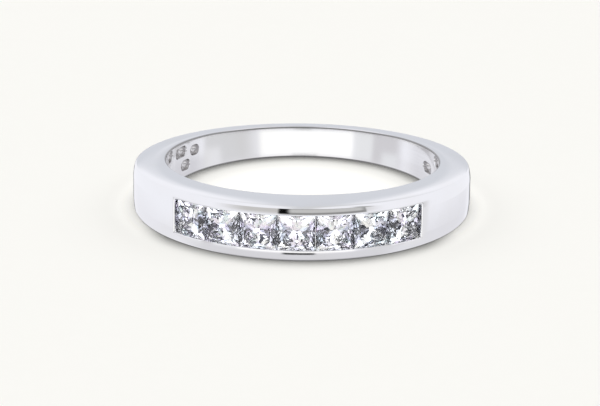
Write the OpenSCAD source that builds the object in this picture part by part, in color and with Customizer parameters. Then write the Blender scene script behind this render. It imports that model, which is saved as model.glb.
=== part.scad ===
// Channel set band: a tapered ring with square princess-cut stones held edge to edge in a channel.
// The ring lies on its side, with its lower side face flat on z = 0 and the stones facing -Y.
// The origin is the point where the axis of the finger hole meets the lower side face.

/* [Finger hole] */
// Inside diameter of the ring
finger_d = 17.35; // [15:0.05:21]

/* [Shank] */
// Radial thickness of the metal at the head
head_t = 2.8; // [2.4:0.05:3.4]
// Radial thickness of the metal at the back
back_t = 1.2; // [1:0.05:2]
// Width across the side faces at the head
head_w = 3.45; // [3.1:0.05:4.5]
// Width across the side faces at the back
back_w = 2.05; // [1.6:0.05:3]
// Rounding of the outer rims
rim_r = 0.2; // [0.05:0.05:0.35]

/* [Stones] */
// Number of stones in the channel
stone_n = 7; // [3:2:9]
// Side of one square stone, across the girdle
stone_side = 2.3; // [1.8:0.05:2.5]
// Width of the table, as a share of the stone's side
table_share = 0.73; // [0.6:0.01:0.8]
// Height of the crown, as a share of the stone's side
crown_share = 0.11; // [0.08:0.01:0.14]
// Thickness of the girdle, as a share of the stone's side
girdle_share = 0.03; // [0.02:0.01:0.05]
// Depth of the pavilion, as a share of the stone's side
pavilion_share = 0.58; // [0.52:0.01:0.64]
// Gap between neighbouring stones
stone_gap = 0.04; // [0.02:0.01:0.1]

/* [Channel] */
// How far each rail reaches over the edges of the stones
rail_tuck = 0.08; // [0.04:0.01:0.12]
// Depth of the tables below the top of the rails
table_drop = 0.06; // [0.04:0.01:0.12]
// Clearance between a girdle and the groove that holds it
groove_gap = 0.04; // [0.03:0.01:0.06]
// Clearance between a pavilion and its seat
seat_gap = 0.03; // [0.02:0.01:0.05]

/* [Inner wall] */
// Diameter of the open hole behind each stone
azure_d = 1.2; // [0.8:0.05:1.4]
// Width of the blind pits on the inner wall of the shoulders
pit_w = 0.7; // [0.4:0.05:0.8]
// Length of the pits along the wall, with round ends
pit_l = 1.3; // [0.9:0.05:1.5]
// Depth of the pits
pit_depth = 0.45; // [0.2:0.05:0.7]

/* [Hidden] */
$fn = 96;

// Pits: angle from the middle of the head, positive to the right, height above the middle of the
// band as a share of its local half width, and length as a share of pit_l
PITS = [
    [-101,  0.62, 0.85],
    [-113,  0.49, 1.15],
    [-124,  0.34, 0.70],
    [-117, -0.31, 0.85],
    [ 100,  0.62, 1.15],
    [ 113, -0.05, 1.00],
];
pit_angle = 0;
pit_height = 1;
pit_length = 2;

// Chevrons of the pavilion, from the girdle to the culet: distance in from the edge as a share of
// the half side, and depth as a share of the pavilion's depth, both along the middle of a side.
// The last one has no depth of its own: it lies in the plane of the corner facets.
CHEVRONS = [[0.30, 0.49], [0.52, 0.70]];
last_chevron = 0.82;
// Break between the two crown facets of a side: share of the way in to the table, share of its height
crown_break = [0.55, 0.62];
// Slope of the crown's corner facets, as a share of the slope that the side facets meet at
corner_slope = 0.83;

finger_r = finger_d / 2;
// The outer wall is a cylinder whose centre lies off the finger hole's, towards the head
outer_r = finger_r + (head_t + back_t) / 2;
offset_y = (head_t - back_t) / 2;
// Each side face is a plane, turned by this angle from square to the finger hole
taper = atan((head_w - back_w) / (4 * outer_r));
mid_half_w = (head_w + back_w) / 4;

half_side = stone_side / 2;
table_half = table_share * half_side;
crown_h = crown_share * stone_side;
girdle_h = girdle_share * stone_side;
pavilion_h = pavilion_share * stone_side;
// Distance of a girdle's lower edge from the outer wall's centre
girdle_r = outer_r - table_drop - crown_h - girdle_h;
// Neighbouring stones come closest at the lower corners of their girdles
stone_pitch = 2 * (atan(half_side / girdle_r) + asin(stone_gap / 2 / norm([half_side, girdle_r])));
row_half = (stone_n - 1) / 2 * stone_pitch;
opening_h = stone_side - 2 * rail_tuck;
groove_half = half_side + groove_gap;
// Rise of the crown over the width that the rail covers
lip_rise = rail_tuck * crown_break[1] * crown_h / (crown_break[0] * (half_side - table_half));
groove_top = girdle_h + lip_rise + groove_gap;
seat_scale = 1 + seat_gap / half_side;
// How far a cutting shape runs past the metal that it cuts
past = 1;

// Half the band's width at a distance y from the finger hole's axis, positive towards the back
function half_w(y) = mid_half_w - tan(taper) * (y + offset_y);

module lie_on_side() {
    rotate([-taper, 0, 0]) translate([0, 0, half_w(0)]) children();
}

// Places a shape at stone i, with its XY plane on the girdle's lower edge and +Z out of the ring
module at_stone(i) {
    translate([0, -offset_y, 0])
        rotate([0, 0, (i - 1) * stone_pitch - row_half])
            translate([0, -girdle_r, 0]) rotate([90, 0, 0]) children();
}

// Everything below the upper side face, which ends in a rounded rim and flares out below it
module under_side_face() {
    rim_end = 75;
    reach = 2 * head_w;
    arc = [for (t = [0:15:rim_end]) [outer_r - rim_r + rim_r * sin(t), rim_r * cos(t) - rim_r]];
    flare = [arc[len(arc) - 1][0] + reach / tan(rim_end), arc[len(arc) - 1][1] - reach];
    translate([0, -offset_y, mid_half_w]) rotate([-taper, 0, 0])
        rotate_extrude() polygon(concat([[0, 0]], arc, [flare, [0, flare[1]]]));
}

module shank_blank() {
    intersection() {
        translate([0, -offset_y, 0]) cylinder(r = outer_r, h = 2 * head_w, center = true);
        under_side_face();
        mirror([0, 0, 1]) under_side_face();
    }
}

// Part of a ring round the outer wall's centre, from the middle of the first stone to that of the last
module stone_row(r_in, r_out, h) {
    far = 2 * r_out / cos(row_half);
    translate([0, -offset_y, 0]) linear_extrude(height = h, center = true) intersection() {
        difference() {
            circle(r = r_out);
            circle(r = r_in);
        }
        polygon([[0, 0], [far * sin(row_half), -far * cos(row_half)],
                 [-far * sin(row_half), -far * cos(row_half)]]);
    }
}

// Opening between the rails and the wider groove under them, with flat ends past the outer stones
module channel() {
    floor_r = girdle_r - groove_gap;
    groove_r = norm([girdle_r + groove_top + groove_gap, half_side]);
    stone_row(floor_r, outer_r + past, opening_h);
    stone_row(floor_r, groove_r, 2 * groove_half);
    for (i = [1, stone_n]) at_stone(i) {
        translate([-groove_half, -opening_h / 2, 0])
            cube([2 * groove_half, opening_h, crown_h + past]);
        translate([-groove_half, -groove_half, -groove_gap / 2])
            cube([2 * groove_half, 2 * groove_half, groove_top + groove_gap / 2]);
    }
}

// Nodes of a pavilion's outline along the middle of its sides: [distance from the centre, depth]
chevron_nodes = concat(
    [for (c = CHEVRONS) [(1 - c[0]) * half_side, c[1] * pavilion_h]],
    [[(1 - last_chevron) * half_side, (1 + last_chevron) / 2 * pavilion_h]]);

// Hollow for one pavilion: two crossed trough shapes, a clearance larger than the stone
module seat() {
    side = concat([[half_side, 0]], chevron_nodes);
    trough = seat_scale * concat(
        [for (p = side) [p[0], -p[1]]], [[0, -pavilion_h]],
        [for (i = [len(side) - 1:-1:0]) [-side[i][0], -side[i][1]]]);
    intersection() {
        rotate([90, 0, 0]) linear_extrude(height = stone_side + past, center = true) polygon(trough);
        rotate([90, 0, 90]) linear_extrude(height = stone_side + past, center = true) polygon(trough);
    }
}

// Round hole from a seat through to the finger hole
module azure() {
    depth = girdle_r - finger_r + offset_y + past;
    translate([0, 0, -depth]) cylinder(d = azure_d, h = depth - pavilion_h / 2);
}

// Blind slot with round ends, cut into the wall of the finger hole
module pit(length) {
    run = max(length - pit_w, 0) / 2;
    translate([0, 0, -past]) {
        for (x = [-run, run]) translate([x, 0, 0]) cylinder(d = pit_w, h = past + pit_depth);
        if (run > 0) translate([-run, -pit_w / 2, 0]) cube([2 * run, pit_w, past + pit_depth]);
    }
}

module pits() {
    for (p = PITS)
        rotate([0, 0, p[pit_angle]])
            translate([0, -finger_r, p[pit_height] * half_w(-finger_r * cos(p[pit_angle]))])
                rotate([90, 0, 0]) pit(p[pit_length] * pit_l);
}

module band() {
    color("gainsboro") lie_on_side() difference() {
        shank_blank();
        cylinder(d = finger_d, h = 2 * head_w, center = true);
        channel();
        for (i = [1:stone_n]) at_stone(i) {
            seat();
            azure();
        }
        pits();
    }
}

// Corner k of a square of the stone's size, and point p of a +X side turned round to side s
function corner(k, z) = let (t = 45 + 90 * k) [sign(cos(t)) * half_side, sign(sin(t)) * half_side, z];
function on_side(s, p) = [
    p[0] * cos(90 * s) - p[1] * sin(90 * s), p[0] * sin(90 * s) + p[1] * cos(90 * s), p[2]];

// Princess cut: every crown and pavilion facet of a side runs into that side's corners
module princess_cut() {
    top = girdle_h + crown_h;
    ledge = half_side - table_half;
    break_in = crown_break[0] * ledge;
    break_h = crown_break[1] * crown_h;
    // Plane of the upper crown facet: its height is a * (distance in from one edge) + b * (from the other)
    a = (crown_h - break_h) / (ledge - break_in);
    b = (break_h - a * break_in) / half_side;
    c = corner_slope * (a + b) / 2;
    near = crown_h * (1 - b / c) / (a - b);
    far = crown_h / c - near;
    // Points of one side: chevron nodes, crown break, middle of the table's edge, and its two ends
    side = concat(
        [for (p = chevron_nodes) [p[0], 0, -p[1]]],
        [[half_side - break_in, 0, girdle_h + break_h], [table_half, 0, top],
         [half_side - near, far - half_side, top], [half_side - near, half_side - far, top]]);
    n = len(chevron_nodes);
    m = len(side);
    points = concat(
        [for (k = [0:3]) corner(k, 0)], [for (k = [0:3]) corner(k, girdle_h)], [[0, 0, -pavilion_h]],
        [for (s = [0:3], p = side) on_side(s, p)]);
    culet = 8;
    first = 9;
    faces = concat(
        [for (s = [0:3]) let (l = (s + 3) % 4, r = s, o = first + s * m) each concat(
            [[l, r, o], [l, l + 4, r + 4, r], [l + 4, o + n, r + 4]],
            [for (j = [0:n - 2]) each [[r, o + j + 1, o + j], [l, o + j, o + j + 1]]],
            [[r + 4, o + n, o + n + 1, o + n + 3], [l + 4, o + n + 2, o + n + 1, o + n]])],
        [for (s = [0:3]) let (o = first + s * m, next = first + (s + 1) % 4 * m) each [
            [s, next + n - 1, culet, o + n - 1], [s + 4, o + n + 3, next + n + 2]]],
        [[for (i = [0:3]) let (s = (4 - i) % 4, before = (s + 3) % 4) each [
            first + s * m + n + 1, first + s * m + n + 2, first + before * m + n + 3]]]);
    polyhedron(points, faces);
}

module stone(i) {
    color([0.88, 0.93, 1]) lie_on_side() at_stone(i) princess_cut();
}

band();
for (i = [1:stone_n]) stone(i);
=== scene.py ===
import math

import bmesh
import bpy
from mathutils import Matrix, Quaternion, Vector


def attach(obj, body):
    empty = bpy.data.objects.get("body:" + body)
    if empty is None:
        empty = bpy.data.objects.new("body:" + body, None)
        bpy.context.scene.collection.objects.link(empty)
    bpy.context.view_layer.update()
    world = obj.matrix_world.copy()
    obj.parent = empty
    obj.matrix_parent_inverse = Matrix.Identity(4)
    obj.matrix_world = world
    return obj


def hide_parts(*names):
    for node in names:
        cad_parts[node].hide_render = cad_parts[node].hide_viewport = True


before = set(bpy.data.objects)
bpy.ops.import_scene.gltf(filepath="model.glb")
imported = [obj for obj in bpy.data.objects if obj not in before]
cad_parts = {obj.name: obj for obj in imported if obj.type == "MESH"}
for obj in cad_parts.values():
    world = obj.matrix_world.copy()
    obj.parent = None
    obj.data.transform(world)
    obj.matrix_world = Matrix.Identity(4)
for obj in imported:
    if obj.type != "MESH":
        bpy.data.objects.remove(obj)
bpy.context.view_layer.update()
scene = bpy.context.scene
millimetre = 0.001

# The ring is modelled in millimetres with the finger hole along Z and the head towards -Y,
# and laid on its lower side face when it is finished.
ring = {
    "fingerRadius": 8.675,
    "outerRadius": 10.675,
    "outerShift": 0.8,        # the outer wall's centre lies this far towards the head
    "headWidth": 3.45,
    "backWidth": 2.05,
    "stones": 7,
    "stoneSide": 2.3,
    "girdleRadius": 10.293,   # lower edge of the girdles, from the outer wall's centre
    "stonePitch": math.radians(12.9702),
    "openingHeight": 2.14,    # between the lips of the rails
    "grooveHeight": 2.38,     # under the lips, where the girdles sit
}
sideSlope = (ring["headWidth"] - ring["backWidth"]) / (4 * ring["outerRadius"])
middleHalfWidth = (ring["headWidth"] + ring["backWidth"]) / 4
halfWidthAtAxis = middleHalfWidth - sideSlope * ring["outerShift"]
lean = math.atan(sideSlope)
rowHalf = (ring["stones"] - 1) / 2 * ring["stonePitch"]
wallCentre = Vector((0, -ring["outerShift"], 0))


def deselectAll():
    if bpy.context.object and bpy.context.object.mode != "OBJECT":
        bpy.ops.object.mode_set(mode="OBJECT")
    bpy.ops.object.select_all(action="DESELECT")


def makeActive(piece):
    deselectAll()
    piece.select_set(True)
    bpy.context.view_layer.objects.active = piece


def newPiece(name):
    piece = bpy.context.object
    piece.name = name
    piece.data.name = name
    makeActive(piece)
    return piece


def pick(piece, kind, wanted):
    # leaves the piece in edit mode with only the wanted verts, edges or faces selected
    makeActive(piece)
    bpy.ops.object.mode_set(mode="EDIT")
    bpy.ops.mesh.select_mode(type=kind)
    bpy.ops.mesh.select_all(action="DESELECT")
    mesh = bmesh.from_edit_mesh(piece.data)
    parts = {"VERT": mesh.verts, "EDGE": mesh.edges, "FACE": mesh.faces}[kind]
    for part in parts:
        if wanted(part):
            part.select_set(True)
    mesh.select_flush_mode()
    bmesh.update_edit_mesh(piece.data)


def pickAll(piece):
    makeActive(piece)
    bpy.ops.object.mode_set(mode="EDIT")
    bpy.ops.mesh.select_all(action="SELECT")


def doneEditing():
    bpy.ops.object.mode_set(mode="OBJECT")


def roundEdges(radius, steps):
    bpy.ops.mesh.bevel(offset=radius, segments=steps, profile=0.5, affect="EDGES", clamp_overlap=False)
    doneEditing()


def applyModifier(piece, name):
    makeActive(piece)
    bpy.ops.object.modifier_apply(modifier=name)


def combine(piece, other, operation):
    solid = piece.modifiers.new("combine", "BOOLEAN")
    solid.operation = operation
    solid.solver = "EXACT"
    solid.object = other
    applyModifier(piece, "combine")
    bpy.data.objects.remove(other)
    pickAll(piece)
    bpy.ops.mesh.remove_doubles(threshold=0.0008)      # specks where two cuts nearly meet
    bpy.ops.mesh.dissolve_degenerate(threshold=0.0004)
    doneEditing()


def cutAway(piece, cutter):
    combine(piece, cutter, "DIFFERENCE")


def joinOn(piece, other):
    combine(piece, other, "UNION")


def joined(pieces):
    deselectAll()
    for piece in pieces:
        piece.select_set(True)
    bpy.context.view_layer.objects.active = pieces[0]
    bpy.ops.object.join()
    return pieces[0]


def radiusFromWall(co):
    return math.hypot(co.x - wallCentre.x, co.y - wallCentre.y)


def atStone(piece, index):
    # places a shape that was made with its XY plane on a girdle's lower edge, and +Z out of the ring
    angle = index * ring["stonePitch"] - rowHalf
    piece.rotation_euler = (math.pi / 2, 0, angle)
    outward = Vector((math.sin(angle), -math.cos(angle), 0))
    piece.location = wallCentre + outward * ring["girdleRadius"]
    makeActive(piece)
    bpy.ops.object.transform_apply(location=True, rotation=True, scale=True)


# The band

blank = {
    "segments": 588,
    # polished crown of the outer wall: distance from the side face, and how far the wall is drawn in there
    "crown": [(0.80, 0.0), (0.72, 0.002), (0.64, 0.0075), (0.56, 0.0155), (0.48, 0.026), (0.40, 0.039),
              (0.32, 0.0545), (0.24, 0.0725), (0.16, 0.093), (0.0, 0.14)],
    "lowerCrown": 0.4,        # the crown is slighter towards the side face that the ring lies on
    "rimRadius": {1: 0.15, -1: 0.08},        # rounding of the outer rims, by side
    "rimSteps": 7,
    # polished roll-off of the side faces, from the rim inwards
    "rollWidth": [0.08, 0.10, 0.12, 0.15, 0.20, 0.20],
    "rollRise": {1: [0.010, 0.009, 0.008, 0.006, 0.004, 0.002],
                 -1: [0.003, 0.002, 0.002, 0.001, 0.001, 0.0005]},
    "boreInset": 0.05,        # first step of drawing the side faces in to the bore
    "boreRimRadius": 0.10,
    "boreRimSteps": 5,
}


def sideHeight(co):
    # height of the upper side face over the ring's middle plane
    return middleHalfWidth - sideSlope * (co.y + ring["outerShift"])


def pickSideFace(band, side):
    # the flat face on this side is one face with a corner for each segment of the wall
    pick(band, "FACE", lambda face: len(face.verts) > 4 and face.normal.z * side > 0.5)


def crownWall(band, side, halfWidth):
    for below, drawnIn in blank["crown"]:
        if below:
            pickAll(band)
            bpy.ops.mesh.bisect(
                plane_co=(0, -ring["outerShift"], side * (halfWidth - below)),
                plane_no=(0, sideSlope, side), threshold=1e-5)
        else:
            pickSideFace(band, side)
        mesh = bmesh.from_edit_mesh(band.data)
        vert = [vert for vert in mesh.verts if vert.select][0]
        wanted = ring["outerRadius"] - drawnIn * (1 if side > 0 else blank["lowerCrown"])
        share = wanted / radiusFromWall(vert.co)
        bpy.ops.transform.resize(value=(share, share, 1), center_override=wallCentre)
        doneEditing()


def makeBlank():
    bpy.ops.mesh.primitive_cylinder_add(
        vertices=blank["segments"], radius=ring["outerRadius"], depth=3 * ring["headWidth"],
        location=wallCentre, end_fill_type="NGON")
    band = newPiece("polished_band")
    bpy.ops.object.transform_apply(location=True, rotation=True, scale=True)
    crownHalf = middleHalfWidth - sum(blank["rollRise"][1])      # the same on both sides
    for side in (1, -1):
        halfWidth = middleHalfWidth - sum(blank["rollRise"][side])
        pickAll(band)
        bpy.ops.mesh.bisect(
            plane_co=(0, -ring["outerShift"], side * halfWidth),
            plane_no=(0, sideSlope, side), clear_outer=True, use_fill=True, threshold=1e-5)
        doneEditing()
        crownWall(band, side, crownHalf)
        pick(band, "EDGE", lambda edge: edge.verts[0].co.z * side > 0
             and any(len(face.verts) > 4 for face in edge.link_faces))
        roundEdges(blank["rimRadius"][side], blank["rimSteps"])
        for width, rise in zip(blank["rollWidth"], blank["rollRise"][side]):
            pickSideFace(band, side)
            bpy.ops.mesh.inset(thickness=width, depth=rise, use_even_offset=True)
            doneEditing()
    print("band: blank turned,", len(band.data.polygons), "faces")
    return band


def boreOut(band):
    # each flat side face is drawn in to the bore's outline, then the two outlines are joined through
    for side in (1, -1):
        pickSideFace(band, side)
        bpy.ops.mesh.inset(thickness=blank["boreInset"], use_even_offset=True)
        mesh = bmesh.from_edit_mesh(band.data)
        face = [face for face in mesh.faces if face.select][0]
        share = ring["fingerRadius"] / radiusFromWall(face.verts[0].co)
        bpy.ops.transform.resize(
            value=(share, share, share),
            center_override=(0, -ring["outerShift"], side * middleHalfWidth))
        bpy.ops.transform.translate(
            value=(0, ring["outerShift"], -side * sideSlope * ring["outerShift"]))
        doneEditing()
    pick(band, "FACE", lambda face: len(face.verts) > 4)
    bpy.ops.mesh.bridge_edge_loops()
    doneEditing()
    pickAll(band)
    bpy.ops.mesh.normals_make_consistent(inside=False)
    doneEditing()
    near = 0.005

    def onRim(edge):
        level = edge.verts[0].co.z * edge.verts[1].co.z > 0
        return level and all(
            abs(math.hypot(v.co.x, v.co.y) - ring["fingerRadius"]) < near
            and abs(abs(v.co.z) - sideHeight(v.co)) < near for v in edge.verts)

    pick(band, "EDGE", onRim)
    roundEdges(blank["boreRimRadius"], blank["boreRimSteps"])
    print("band: bored out,", len(band.data.polygons), "faces")


channel = {
    "stepAngle": math.radians(0.5),
    "openingFloor": 0.03,      # over the girdles' lower edge, clear of the groove's floor
    "grooveTopRadius": 10.51,
    "grooveGap": 0.04,
    "grooveRise": 0.14,        # height of the groove at the channel's ends
    "endReach": 1.19,          # from an outer stone's middle to the channel's end
    "grooveReach": 1.196,      # and to the groove's
    "past": 1.0,               # how far a cutter runs past the metal
    "lipRadius": 0.10,
    "lipSteps": 5,
    "lipWall": 10.66,          # the lips' edges lie about this far from the outer wall's centre
    "seatLevels": [(1.18, 0.0), (0.826, 0.671), (0.566, 0.958), (0.212, 1.246)],   # half side, depth
    "seatTip": 1.369,
    "azureRadius": 0.6,        # round hole from a seat through to the finger hole
    "azureSides": 48,
    "flatAngle": math.radians(0.1),        # faces that turn less than this are made one
}


def rowSection(name, innerRadius, outerRadius, height):
    # part of a flat ring round the outer wall's centre, from the first stone's middle to the last's
    bpy.ops.mesh.primitive_plane_add(size=1, location=(0, 0, 0), rotation=(math.pi / 2, 0, 0))
    cutter = newPiece(name)
    cutter.scale = (outerRadius - innerRadius, height, 1)
    cutter.location = ((outerRadius + innerRadius) / 2, 0, 0)
    bpy.ops.object.transform_apply(location=True, rotation=True, scale=True)
    cutter.rotation_euler = (0, 0, -math.pi / 2 + rowHalf)     # spin turns clockwise from here
    cutter.location = wallCentre
    bpy.ops.object.transform_apply(location=True, rotation=True, scale=True)
    pickAll(cutter)
    bpy.ops.mesh.spin(
        steps=round(2 * rowHalf / channel["stepAngle"]), angle=2 * rowHalf,
        center=wallCentre, axis=(0, 0, 1))
    bpy.ops.mesh.select_all(action="SELECT")
    bpy.ops.mesh.normals_make_consistent(inside=False)
    bpy.ops.mesh.dissolve_limited(angle_limit=channel["flatAngle"])
    doneEditing()
    return cutter


def endBox(index, reach, height, low, high):
    # square end of the channel round an outer stone
    bpy.ops.mesh.primitive_cube_add(size=1)
    box = newPiece("channelEnd")
    box.scale = (2 * reach, height, high - low)
    box.location = (0, 0, (high + low) / 2)
    bpy.ops.object.transform_apply(location=True, rotation=True, scale=True)
    atStone(box, index)
    return box


def channelCutter(name, floor, outerRadius, reach, height, rise):
    cutter = rowSection(name, ring["girdleRadius"] + floor, outerRadius, height)
    for index in (0, ring["stones"] - 1):
        joinOn(cutter, endBox(index, reach, height, floor, rise))
    pickAll(cutter)
    bpy.ops.mesh.dissolve_limited(angle_limit=channel["flatAngle"])
    doneEditing()
    return cutter


def seatCutter(index):
    # hollow for one pavilion: a square that is drawn in at each level down to its tip
    levels = channel["seatLevels"]
    bpy.ops.mesh.primitive_plane_add(size=2 * levels[0][0])
    seat = newPiece("seat")
    pickAll(seat)
    for (half, depth), (halfBelow, depthBelow) in zip(levels, levels[1:]):
        bpy.ops.mesh.extrude_region_move(
            TRANSFORM_OT_translate={"value": (0, 0, depth - depthBelow)})
        bpy.ops.transform.resize(value=(halfBelow / half, halfBelow / half, 1))
    bpy.ops.mesh.extrude_region_move(
        TRANSFORM_OT_translate={"value": (0, 0, levels[-1][1] - channel["seatTip"])})
    bpy.ops.mesh.merge(type="CENTER")
    bpy.ops.mesh.select_all(action="SELECT")
    bpy.ops.mesh.normals_make_consistent(inside=False)
    doneEditing()
    atStone(seat, index)
    return seat


def azureCutter(index):
    depth = ring["girdleRadius"] - ring["fingerRadius"] + ring["outerShift"] + channel["past"]
    bpy.ops.mesh.primitive_cylinder_add(
        vertices=channel["azureSides"], radius=channel["azureRadius"],
        depth=depth - channel["seatTip"] / 2,
        location=(0, 0, -(depth + channel["seatTip"] / 2) / 2))
    azure = newPiece("azure")
    bpy.ops.object.transform_apply(location=True, rotation=True, scale=True)
    atStone(azure, index)
    return azure


def cutChannel(band):
    cutter = channelCutter(
        "opening", channel["openingFloor"], ring["outerRadius"] + channel["past"],
        channel["endReach"], ring["openingHeight"], channel["past"])
    joinOn(cutter, channelCutter(
        "groove", -channel["grooveGap"], channel["grooveTopRadius"],
        channel["grooveReach"], ring["grooveHeight"], channel["grooveRise"]))
    cutAway(band, cutter)
    half = ring["openingHeight"] / 2

    def onLip(edge):
        # on the outer wall in front, and either along a rail or a sharp edge across the channel's end
        onWall = all(abs(radiusFromWall(v.co) - channel["lipWall"]) < 0.02 for v in edge.verts)
        inside = all(abs(v.co.z) < half + 0.002 and v.co.y < 0 for v in edge.verts)
        along = all(abs(abs(v.co.z) - half) < 0.001 for v in edge.verts)
        return onWall and inside and (along or edge.calc_face_angle(0) > 0.5)

    pick(band, "EDGE", onLip)
    roundEdges(channel["lipRadius"], channel["lipSteps"])
    for first in (0, 1):        # neighbouring seats run into each other, so every other one is cut at once
        seats = []
        for index in range(first, ring["stones"], 2):
            seats.append(seatCutter(index))
            joinOn(seats[-1], azureCutter(index))
        cutAway(band, joined(seats))
    print("band: channel and seats cut,", len(band.data.polygons), "faces")


pit = {
    "radius": 0.35,
    "sides": 32,
    "depth": 0.45,
    "length": 1.3,
    "mouthDepth": 0.05,       # the mouth opens from here outwards
    "mouthHeight": 0.15,      # to here, inside the hole
    "mouthShare": 1.15,
    "floorRadius": 0.33,      # rounding of the pit's floor, as a ball cutter leaves it
    "floorSteps": 8,
    # angle from the middle of the head, height as a share of the half width, length share
    "places": [(-101, 0.62, 0.85), (-113, 0.49, 1.15), (-124, 0.34, 0.70), (-117, -0.31, 0.85),
               (100, 0.62, 1.15), (113, -0.05, 1.00)],
}


def pitCutter(angle, height, share):
    run = max(pit["length"] * share - 2 * pit["radius"], 0) / 2
    bpy.ops.mesh.primitive_cylinder_add(
        vertices=pit["sides"], radius=pit["radius"], depth=pit["depth"] + pit["mouthHeight"],
        location=(0, 0, (pit["depth"] - pit["mouthHeight"]) / 2))
    cutter = newPiece("pit")
    bpy.ops.object.transform_apply(location=True, rotation=True, scale=True)
    for side in (1, -1):
        pick(cutter, "VERT", lambda v: v.co.x * side > 1e-4)
        bpy.ops.transform.translate(value=(side * run, 0, 0))
        doneEditing()
    pick(cutter, "FACE", lambda face: face.normal.z > 0.9)
    roundEdges(pit["floorRadius"], pit["floorSteps"])
    pickAll(cutter)
    bpy.ops.mesh.bisect(plane_co=(0, 0, pit["mouthDepth"]), plane_no=(0, 0, 1))
    doneEditing()
    pick(cutter, "FACE", lambda face: face.normal.z < -0.9)
    bpy.ops.transform.resize(
        value=(pit["mouthShare"], pit["mouthShare"], 1), center_override=(0, 0, -pit["mouthHeight"]))
    doneEditing()
    turn = math.radians(angle)
    x = ring["fingerRadius"] * math.sin(turn)
    y = -ring["fingerRadius"] * math.cos(turn)
    cutter.rotation_euler = (math.pi / 2, 0, turn)
    cutter.location = (x, y, height * sideHeight(Vector((x, y, 0))))
    makeActive(cutter)
    bpy.ops.object.transform_apply(location=True, rotation=True, scale=True)
    return cutter


def cutPits(band):
    cutAway(band, joined([pitCutter(*place) for place in pit["places"]]))
    print("band: pits cut,", len(band.data.polygons), "faces")


band = makeBlank()
boreOut(band)
cutChannel(band)
cutPits(band)


def layOnSide(piece):
    makeActive(piece)
    piece.location = (0, 0, halfWidthAtAxis)
    bpy.ops.object.transform_apply(location=True, rotation=True, scale=True)
    piece.rotation_euler = (-lean, 0, 0)
    piece.scale = (millimetre, millimetre, millimetre)
    bpy.ops.object.transform_apply(location=True, rotation=True, scale=True)


layOnSide(band)
makeActive(band)
bpy.ops.object.shade_smooth_by_angle(angle=math.radians(30))
even = band.modifiers.new("even", "WEIGHTED_NORMAL")
even.keep_sharp = True
applyModifier(band, "even")
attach(band, "root")
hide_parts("band")


# Materials

def newMaterial(name):
    material = bpy.data.materials.new(name)
    material.use_nodes = True
    return material, material.node_tree


def plug(tree, value, socket):
    # a number or colour goes on the socket itself, anything else is linked
    if isinstance(value, (int, float, tuple)):
        socket.default_value = value
    else:
        tree.links.new(value, socket)


def calc(tree, operation, *values):
    node = tree.nodes.new("ShaderNodeMath")
    node.operation = operation
    for value, socket in zip(values, node.inputs):
        plug(tree, value, socket)
    return node.outputs["Value"]


def product(tree, first, *others):
    for other in others:
        first = calc(tree, "MULTIPLY", first, other)
    return first


def total(tree, first, *others):
    for other in others:
        first = calc(tree, "ADD", first, other)
    return first


def step(tree, value, low, high, toMin=0.0, toMax=1.0):
    # soft step from toMin at low to toMax at high, which may lie below low
    node = tree.nodes.new("ShaderNodeMapRange")
    node.interpolation_type = "SMOOTHSTEP"
    node.inputs["From Min"].default_value = low
    node.inputs["From Max"].default_value = high
    node.inputs["To Min"].default_value = toMin
    node.inputs["To Max"].default_value = toMax
    tree.links.new(value, node.inputs["Value"])
    return node.outputs["Result"]


def blend(tree, under, over, mask):
    node = tree.nodes.new("ShaderNodeMix")
    node.data_type = "RGBA"
    plug(tree, mask, node.inputs["Factor"])
    plug(tree, under, node.inputs["A"])
    plug(tree, over, node.inputs["B"])
    return node.outputs["Result"]


def noise(tree, vector, scale, detail, roughness=0.5):
    node = tree.nodes.new("ShaderNodeTexNoise")
    node.inputs["Scale"].default_value = scale
    node.inputs["Detail"].default_value = detail
    node.inputs["Roughness"].default_value = roughness
    tree.links.new(vector, node.inputs["Vector"])
    return node.outputs["Fac"]


def ringFrameGroup():
    # Object coordinates turned back into the ring's own frame, in millimetres, as radius, turn, height,
    # the depth under the nearest side face and the place along the row of stones, in stones
    group = bpy.data.node_groups.new("ringFrame", "ShaderNodeTree")
    group.interface.new_socket("Position", in_out="INPUT", socket_type="NodeSocketVector")
    for name in ("Radius", "Turn", "Height", "Depth", "Row"):
        group.interface.new_socket(name, in_out="OUTPUT", socket_type="NodeSocketFloat")
    start = group.nodes.new("NodeGroupInput")
    end = group.nodes.new("NodeGroupOutput")
    upright = group.nodes.new("ShaderNodeMapping")
    upright.inputs["Rotation"].default_value = (lean, 0, 0)
    upright.inputs["Scale"].default_value = (1000, 1000, 1000)
    upright.inputs["Location"].default_value = (0, 0, -halfWidthAtAxis)
    group.links.new(start.outputs["Position"], upright.inputs["Vector"])
    split = group.nodes.new("ShaderNodeSeparateXYZ")
    group.links.new(upright.outputs["Vector"], split.inputs["Vector"])
    x, y, z = split.outputs
    radius = calc(group, "SQRT", total(group, product(group, x, x), product(group, y, y)))
    halfWidth = calc(group, "SUBTRACT", halfWidthAtAxis, product(group, y, sideSlope))
    depth = calc(group, "SUBTRACT", halfWidth, calc(group, "ABSOLUTE", z))
    alongRow = calc(group, "ARCTAN2", x, calc(group, "SUBTRACT", -ring["outerShift"], y))
    group.links.new(radius, end.inputs["Radius"])
    group.links.new(calc(group, "ARCTAN2", x, y), end.inputs["Turn"])
    group.links.new(z, end.inputs["Height"])
    group.links.new(depth, end.inputs["Depth"])
    group.links.new(calc(group, "DIVIDE", alongRow, ring["stonePitch"]), end.inputs["Row"])
    return group


def ringPlace(tree, ringFrame):
    # the group in one material, and the Object coordinates that feed it
    coordinates = tree.nodes.new("ShaderNodeTexCoord").outputs["Object"]
    place = tree.nodes.new("ShaderNodeGroup")
    place.node_tree = ringFrame
    tree.links.new(coordinates, place.inputs["Position"])
    return coordinates, place.outputs


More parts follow.
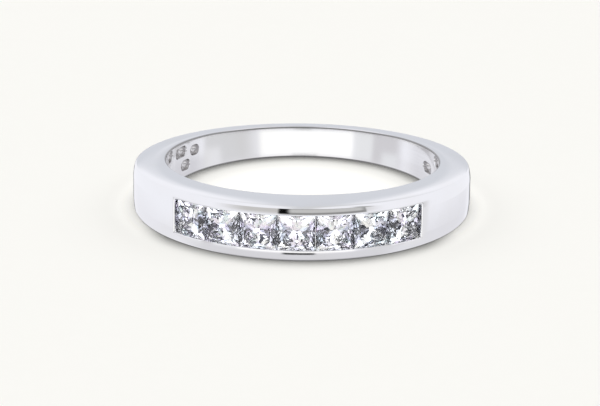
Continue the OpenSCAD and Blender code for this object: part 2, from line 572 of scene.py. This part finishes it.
gold = {
    "colour": (0.885, 0.885, 0.89, 1),
    "warmer": (0.870, 0.866, 0.862, 1),
    "clouds": (320.0, 3.0),               # scale and detail of the warmer patches
    "cloudEdge": (0.42, 0.68),
    "rim": (0.30, 0.295, 0.29, 1),        # painted shade: dark line along the finger hole's edges round the back, standing in for a dark reflection there; also made rougher
    "rimRadius": (8.78, 8.76),
    "rimTurn": (2.1, 1.7),                # only round the back
    "rimStart": (-0.02, 0.02),            # depth under the side face where it starts
    "rimEnd": (0.13, 0.07),               # and where it ends
    "rimDrop": 0.045,                     # how much lower the upper one lies in the middle of the back
    "rimDropTurn": (0.85, 0.45),
    "rimDropHeight": (-0.1, 0.1),
    "seat": (0.22, 0.22, 0.23, 1),        # painted shade under the stones, where the seats lie in shadow; also made rougher
    "seatInner": (8.72, 8.76),            # between the finger hole
    "seatOuter": (10.86, 10.80),          # and the channel's floor
    "seatHeight": (1.26, 1.22),
    "seatTurn": (2.2, 2.25),
    "pit": (0.68, 0.67, 0.67, 1),         # painted shade in the pits of the finger hole; also made rougher
    "pitInner": (8.69, 8.76),
    "pitOuter": (9.4, 9.3),
    "pitDepth": (0.16, 0.20),
    "darkerHoleWall": (0.745, 0.74, 0.745, 1),    # darker tone on the finger hole's wall from the pits round to the head
    "workedTurn": (0.84, 1.02),
    "inHole": (8.69, 8.68),
    "polished": 0.035,                    # roughness outside
    "satin": 0.10,                        # roughness in the finger hole
    "rimDull": 0.15,                      # and what these add to it
    "seatDull": 0.30,
    "pitDull": 0.10,
    "marks": 0.02,                        # spread of the roughness in the polishing marks
    "marksFine": 14.0,                    # they run round the band, so they are fine in radius and height
    "marksLong": 1.6,                     # and long in turn
    "marksNoise": (1.0, 3.0, 0.6),        # scale, detail and roughness of their noise
    "marksEdge": (0.3, 0.7),              # share of the noise where they start and are full
    # the same on that darker wall, and the shares of its tone there
    "marksDarkerWall": (0.25, 0.6, 0.75, 1.0),
    "wave": 0.012,                        # strength of the faint unevenness that polishing leaves
    "waveDepth": 0.0002,
    "waveNoise": (210.0, 1.0),
}


def makeGold(ringFrame):
    material, tree = newMaterial("whiteGold")
    shader = tree.nodes["Principled BSDF"]
    coordinates, place = ringPlace(tree, ringFrame)
    radius = place["Radius"]
    depth = place["Depth"]
    turned = calc(tree, "ABSOLUTE", place["Turn"])
    level = calc(tree, "ABSOLUTE", place["Height"])

    drop = product(tree, step(tree, turned, *gold["rimDropTurn"], 0.0, gold["rimDrop"]),
                   step(tree, place["Height"], *gold["rimDropHeight"]))
    below = calc(tree, "SUBTRACT", depth, drop)
    # painted shade: the dark reflection line along the finger hole's back edges
    rim = product(tree, step(tree, below, *gold["rimStart"]), step(tree, below, *gold["rimEnd"]),
                  step(tree, radius, *gold["rimRadius"]), step(tree, turned, *gold["rimTurn"]))
    # painted shade in the seats under the stones
    seat = product(tree, step(tree, radius, *gold["seatInner"]), step(tree, radius, *gold["seatOuter"]),
                   step(tree, level, *gold["seatHeight"]), step(tree, turned, *gold["seatTurn"]))
    # painted shade in the pits
    inPit = product(tree, step(tree, radius, *gold["pitInner"]), step(tree, radius, *gold["pitOuter"]),
                    step(tree, depth, *gold["pitDepth"]))
    inHole = step(tree, radius, *gold["inHole"])

    marksAt = tree.nodes.new("ShaderNodeCombineXYZ")
    tree.links.new(product(tree, radius, gold["marksFine"]), marksAt.inputs["X"])
    tree.links.new(product(tree, place["Turn"], gold["marksLong"]), marksAt.inputs["Y"])
    tree.links.new(product(tree, place["Height"], gold["marksFine"]), marksAt.inputs["Z"])
    marks = noise(tree, marksAt.outputs["Vector"], *gold["marksNoise"])
    # darker tone on the wall of the finger hole away from the back, streaked by the polishing marks
    darkerHoleWall = product(tree, inHole, step(tree, turned, *gold["workedTurn"]),
                     step(tree, marks, *gold["marksDarkerWall"]))

    cloud = step(tree, noise(tree, coordinates, *gold["clouds"]), *gold["cloudEdge"])
    tone = blend(tree, gold["colour"], gold["warmer"], cloud)
    # over the base tone: the darker wall of the hole, then painted shade in the pits, the painted dark line
    # on the back edges and painted shade under the stones
    for colour, mask in (("darkerHoleWall", darkerHoleWall), ("pit", inPit), ("rim", rim), ("seat", seat)):
        tone = blend(tree, tone, gold[colour], mask)
    tree.links.new(tone, shader.inputs["Base Color"])

    rough = total(
        tree, step(tree, marks, *gold["marksEdge"], gold["polished"], gold["polished"] + gold["marks"]),
        product(tree, inHole, gold["satin"] - gold["polished"]), product(tree, rim, gold["rimDull"]),
        product(tree, seat, gold["seatDull"]), product(tree, inPit, gold["pitDull"]))
    tree.links.new(rough, shader.inputs["Roughness"])
    bump = tree.nodes.new("ShaderNodeBump")
    bump.inputs["Strength"].default_value = gold["wave"]
    bump.inputs["Distance"].default_value = gold["waveDepth"]
    tree.links.new(noise(tree, coordinates, *gold["waveNoise"]), bump.inputs["Height"])
    tree.links.new(bump.outputs["Normal"], shader.inputs["Normal"])
    shader.inputs["Metallic"].default_value = 1.0
    return material


gem = {
    "clear": (1.0, 1.0, 1.0, 1),
    "shade": (0.20, 0.20, 0.225, 1),      # painted shade on the side facets, darker than the arms of the cross
    "shadeEdge": (0.02, 0.16),
    "below": (0.76, 0.76, 0.79, 1),       # painted shade on the facets towards the lower rail
    "belowEdge": (0.04, 0.18),
    "indexOfRefraction": 2.418,
    "cells": 2300.0,                      # tinted patches a metre, for the small coloured glints
    "hues": (0.34, 0.48),                 # spread and start, from cyan over blue to pink
    "saturation": 0.75,
    "tintShare": 0.45,
    "tintStrength": 0.24,
    "glare": (0.35, 0.35, 0.36, 1),       # share of the studio that the tables mirror
}


def makeDiamond(ringFrame):
    material, tree = newMaterial("diamond")
    shader = tree.nodes["Principled BSDF"]
    coordinates, place = ringPlace(tree, ringFrame)
    # the four triangles of a princess cut: u runs along the row and v up the stone, from its middle
    row = place["Row"]
    u = calc(tree, "ABSOLUTE", calc(tree, "SUBTRACT", row, calc(tree, "ROUND", row)))
    v = calc(tree, "DIVIDE", place["Height"], ring["stoneSide"])
    # painted shade: the side triangles and the lower one are darkened
    sides = step(tree, calc(tree, "SUBTRACT", u, calc(tree, "ABSOLUTE", v)), *gem["shadeEdge"])
    below = step(tree, calc(tree, "SUBTRACT", product(tree, v, -1.0), u), *gem["belowEdge"])
    colour = blend(tree, blend(tree, gem["clear"], gem["shade"], sides), gem["below"], below)

    cells = tree.nodes.new("ShaderNodeTexVoronoi")
    cells.inputs["Scale"].default_value = gem["cells"]
    tree.links.new(coordinates, cells.inputs["Vector"])
    split = tree.nodes.new("ShaderNodeSeparateColor")
    tree.links.new(cells.outputs["Color"], split.inputs["Color"])
    hue = tree.nodes.new("ShaderNodeCombineColor")
    hue.mode = "HSV"
    tree.links.new(calc(tree, "MULTIPLY_ADD", split.outputs["Red"], *gem["hues"]), hue.inputs["Red"])
    hue.inputs["Green"].default_value = gem["saturation"]
    hue.inputs["Blue"].default_value = 1.0
    tinted = step(tree, split.outputs["Green"], 1 - gem["tintShare"], 1 - gem["tintShare"] / 2)
    tint = blend(tree, gem["clear"], hue.outputs["Color"], product(tree, tinted, gem["tintStrength"]))
    glint = blend(tree, colour, tint, 1.0)
    glint.node.blend_type = "MULTIPLY"

    tree.links.new(glint, shader.inputs["Base Color"])
    shader.inputs["Metallic"].default_value = 0.0
    shader.inputs["Roughness"].default_value = 0.0
    shader.inputs["IOR"].default_value = gem["indexOfRefraction"]
    shader.inputs["Specular Tint"].default_value = gem["glare"]
    shader.inputs["Transmission Weight"].default_value = 1.0
    return material


ringFrame = ringFrameGroup()
band.data.materials.clear()
band.data.materials.append(makeGold(ringFrame))
diamond = makeDiamond(ringFrame)
for name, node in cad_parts.items():
    if name.startswith("stone"):
        node.data.materials.clear()
        node.data.materials.append(diamond)
print("materials: done")


# The studio

paper = {
    "size": 3.0,
    "colour": (0.800, 0.793, 0.764, 1),
    "darker": (0.792, 0.785, 0.756, 1),
    "grain": (900.0, 4.0),
    "glow": (0.956, 0.947, 0.913, 1),
    "glowStrength": 0.10,
    "contactShadow": (0.10, 0.10, 0.10, 1),      # painted contact shadow, where the ring all but touches the paper
    "contactReach": 0.0018,
    "contactSamples": 8,
    "contactOpen": (0.95, 0.25),           # share of open sky where it starts and is full
    "contactHalf": (0.0102, 0.0078),       # it fades out towards the ring's sides
    "gathered": 0.14,                      # light that the finger hole throws back on the paper
    "gatheredRadius": (0.0078, 0.0058),
    "gatheredOpen": (0.6, 0.95),
    "washed": 0.22,                        # light from both sides that fills the shadow there
    "washedOpen": (1.0, 0.5),
}


def makeFloor():
    bpy.ops.mesh.primitive_plane_add(size=paper["size"], location=(0, 0, 0))
    floor = newPiece("floor")
    material, tree = newMaterial("paper")
    shader = tree.nodes["Principled BSDF"]
    coordinates = tree.nodes.new("ShaderNodeTexCoord").outputs["Object"]
    place = tree.nodes.new("ShaderNodeSeparateXYZ")
    tree.links.new(coordinates, place.inputs["Vector"])
    x, y, _ = place.outputs
    contactShadow = tree.nodes.new("ShaderNodeAmbientOcclusion")
    contactShadow.samples = paper["contactSamples"]
    contactShadow.inputs["Distance"].default_value = paper["contactReach"]
    openSky = contactShadow.outputs["AO"]
    middle = step(tree, calc(tree, "ABSOLUTE", x), *paper["contactHalf"])
    # painted contact shadow, darker where little open sky is left near the ring
    shade = product(tree, step(tree, openSky, *paper["contactOpen"]), middle)
    tone = blend(tree, paper["colour"], paper["darker"], noise(tree, coordinates, *paper["grain"]))
    tree.links.new(blend(tree, tone, paper["contactShadow"], shade), shader.inputs["Base Color"])

    away = calc(tree, "SQRT", total(tree, product(tree, x, x), product(tree, y, y)))
    gathered = product(tree, step(tree, away, *paper["gatheredRadius"], 0.0, paper["gathered"]),
                       step(tree, openSky, *paper["gatheredOpen"]))
    washed = product(tree, step(tree, openSky, *paper["washedOpen"], 0.0, paper["washed"]),
                     calc(tree, "SUBTRACT", 1.0, middle))
    tree.links.new(total(tree, gathered, washed, paper["glowStrength"]), shader.inputs["Emission Strength"])
    shader.inputs["Roughness"].default_value = 1.0
    shader.inputs["Specular IOR Level"].default_value = 0.0
    shader.inputs["Emission Color"].default_value = paper["glow"]
    floor.data.materials.append(material)
    floor.visible_glossy = False         # the metal mirrors the studio's own lower half instead
    print("floor: laid")


makeFloor()

# What the polished metal mirrors. Each patch has its azimuth, half width and softness, its elevation,
# half height and softness, and its colour. Angles are in degrees, azimuth from the front towards +X,
# and None is all round. Later patches lie over earlier ones.
studio = {
    "walls": (0.97, 0.975, 1.03, 1),
    "patches": [
        (None, 0, 0, -58, 35.5, 4, (0.76, 0.755, 0.79, 1)),          # floor close to the ring
        (None, 0, 0, -75, 30, 40, (0.42, 0.42, 0.44, 1)),            # and right under it
        (112, 44, 20, -40, 22.2, 3.4, (0.83, 0.83, 0.88, 1)),        # backdrop's foot on the right
        (-120, 40, 30, -40, 21.8, 2.4, (0.90, 0.90, 0.95, 1)),       # and on the left
        (0, 180, 0, -62, 35.5, 4, (0.76, 0.755, 0.79, 1)),
        (180, 15, 7, -5, 16.6, 4.2, (0.70, 0.72, 0.775, 1)),         # grey card behind
        (181.3, 1.7, 2.2, 35, 60, 5, (0.70, 0.72, 0.775, 1)),        # its narrow upper part
        (0, 48, 30, 11, 9, 12, (0.62, 0.61, 0.60, 1)),               # room in front
        (16, 29.5, 1.5, 10.5, 9.5, 1.5, (0.30, 0.30, 0.30, 1)),      # slot between the front cards
        (-10, 3.7, 2.5, 10.5, 7.5, 3.5, (0.004, 0.004, 0.004, 1)),
        (18.5, 25, 5, 10.5, 4.3, 3, (0.60, 0.60, 0.60, 1)),
        (47, 6, 5, 30, 16, 8, (0.46, 0.46, 0.46, 1)),
        (-2, 41, 6, -14.5, 8.5, 3, (1.2, 1.2, 1.2, 1)),              # bright paper seen through the hole
        (66, 22, 24, -13, 10, 4, (0.735, 0.735, 0.755, 1)),          # and its darker sides
        (82, 12, 8, -13, 10, 4, (0.735, 0.735, 0.755, 1)),
        (86, 9, 8, -20, 5, 4, (0.87, 0.87, 0.90, 1)),
        (-70, 20, 14, -13, 10, 4, (0.70, 0.69, 0.72, 1)),
        (-52, 9, 6, -13, 10, 4, (0.90, 0.91, 0.94, 1)),
        (-80, 9, 8, -21, 4, 4, (0.86, 0.87, 0.90, 1)),
        (0, 11, 4, -24.1, 1.0, 0.7, (0.004, 0.004, 0.004, 1)),       # front edge of the table
        (180, 14, 6, -17, 7, 4, (0.30, 0.30, 0.31, 1)),              # and its shade under the back
    ],
    "overhead": (0.72, 0.73, 0.76, 1),        # softer light from above
    "overheadAcross": (0.04, 0.13, 0.18),     # middle, half width and softness, as a share of X
    "overheadRise": (60, 38, 12),             # and as elevation
    # what the stones gather instead: bright cards against a dark room
    "cards": (2.35, 2.40, 2.50, 1),
    "room": (0.025, 0.030, 0.055, 1),
    "cardNoise": (1.6, 1.0),
    "cardPlace": (5.0, 3.5, 6.5),
    "cardEdge": (0.42, 0.48),
}


def patchMask(tree, value, middle, half, soft, turning=False):
    away = calc(tree, "SUBTRACT", value, middle)
    if turning:
        away = calc(tree, "WRAP", away, 180.0, -180.0)
    return step(tree, calc(tree, "ABSOLUTE", away), half + soft / 2, half - soft / 2)


def makeStudio():
    world = bpy.data.worlds.new("studio")
    scene.world = world
    world.use_nodes = True
    tree = world.node_tree
    way = tree.nodes.new("ShaderNodeTexCoord").outputs["Generated"]
    split = tree.nodes.new("ShaderNodeSeparateXYZ")
    tree.links.new(way, split.inputs["Vector"])
    x, y, z = split.outputs
    azimuth = calc(tree, "DEGREES", calc(tree, "ARCTAN2", x, product(tree, y, -1.0)))
    elevation = calc(tree, "DEGREES", calc(tree, "ARCSINE", z))
    high = product(tree, patchMask(tree, x, *studio["overheadAcross"]),
                   patchMask(tree, elevation, *studio["overheadRise"]))
    colour = blend(tree, studio["walls"], studio["overhead"], high)
    for turn, width, turnSoft, rise, height, riseSoft, tint in studio["patches"]:
        mask = patchMask(tree, elevation, rise, height, riseSoft)
        if turn is not None:
            mask = product(tree, mask, patchMask(tree, azimuth, turn, width, turnSoft, True))
        colour = blend(tree, colour, tint, mask)
    moved = tree.nodes.new("ShaderNodeMapping")
    moved.inputs["Location"].default_value = studio["cardPlace"]
    tree.links.new(way, moved.inputs["Vector"])
    cards = step(tree, noise(tree, moved.outputs["Vector"], *studio["cardNoise"]), *studio["cardEdge"])
    rays = tree.nodes.new("ShaderNodeLightPath")
    colour = blend(tree, colour, blend(tree, studio["room"], studio["cards"], cards),
                   rays.outputs["Is Transmission Ray"])
    tree.links.new(colour, tree.nodes["Background"].inputs["Color"])
    world.cycles_visibility.diffuse = False      # the paper is lit by the lamps alone, so it stays even


makeStudio()

# in degrees: tip is from straight above, turn is round the ring from the back towards +X
lamps = {
    "softLamp": {"strength": 2.96, "spread": 48, "tip": 5, "turn": 0},
    "leftLamp": {"strength": 0.38, "spread": 40, "tip": 52, "turn": -70},
    "rightLamp": {"strength": 0.38, "spread": 40, "tip": 52, "turn": 60},
}


def makeLamp(name):
    lamp = lamps[name]
    bpy.ops.object.light_add(
        type="SUN", location=(0, 0, 0.1),
        rotation=(-math.radians(lamp["tip"]), 0, -math.radians(lamp["turn"])))
    light = bpy.context.object
    light.name = name
    light.data.energy = lamp["strength"]
    light.data.angle = math.radians(lamp["spread"])
    light.visible_glossy = False
    light.visible_transmission = False


for name in lamps:
    makeLamp(name)
scene.cycles.caustics_reflective = False
scene.cycles.max_bounces = 32
scene.cycles.glossy_bounces = 24
scene.cycles.transmission_bounces = 24
print("studio: done")

camera = {
    "distance": 200,
    "elevation": math.radians(18.59),   # above the floor
    "turn": math.radians(1.659),        # round the ring, to the right
    "roll": math.radians(0.637),
    "lens": 188.38,
    "aim": (-0.111, -0.483, -1.437),     # from the middle of the finger hole to the frame's middle
}


def makeCamera():
    hole = Vector((0, math.sin(lean), math.cos(lean))) * halfWidthAtAxis
    flat = math.cos(camera["elevation"])
    back = Vector((flat * math.sin(camera["turn"]), -flat * math.cos(camera["turn"]),
                   math.sin(camera["elevation"])))
    bpy.ops.object.camera_add(location=(hole + back * camera["distance"]) * millimetre)
    eye = bpy.context.object
    eye.name = "camera"
    aim = (hole + Vector(camera["aim"])) * millimetre
    eye.rotation_mode = "QUATERNION"
    look = (aim - eye.location).normalized()
    eye.rotation_quaternion = Quaternion(look, -camera["roll"]) @ look.to_track_quat("-Z", "Y")
    eye.data.lens = camera["lens"]
    eye.data.clip_start = millimetre
    scene.camera = eye
    print("camera: placed")


makeCamera()
scene.view_settings.view_transform = "Standard"
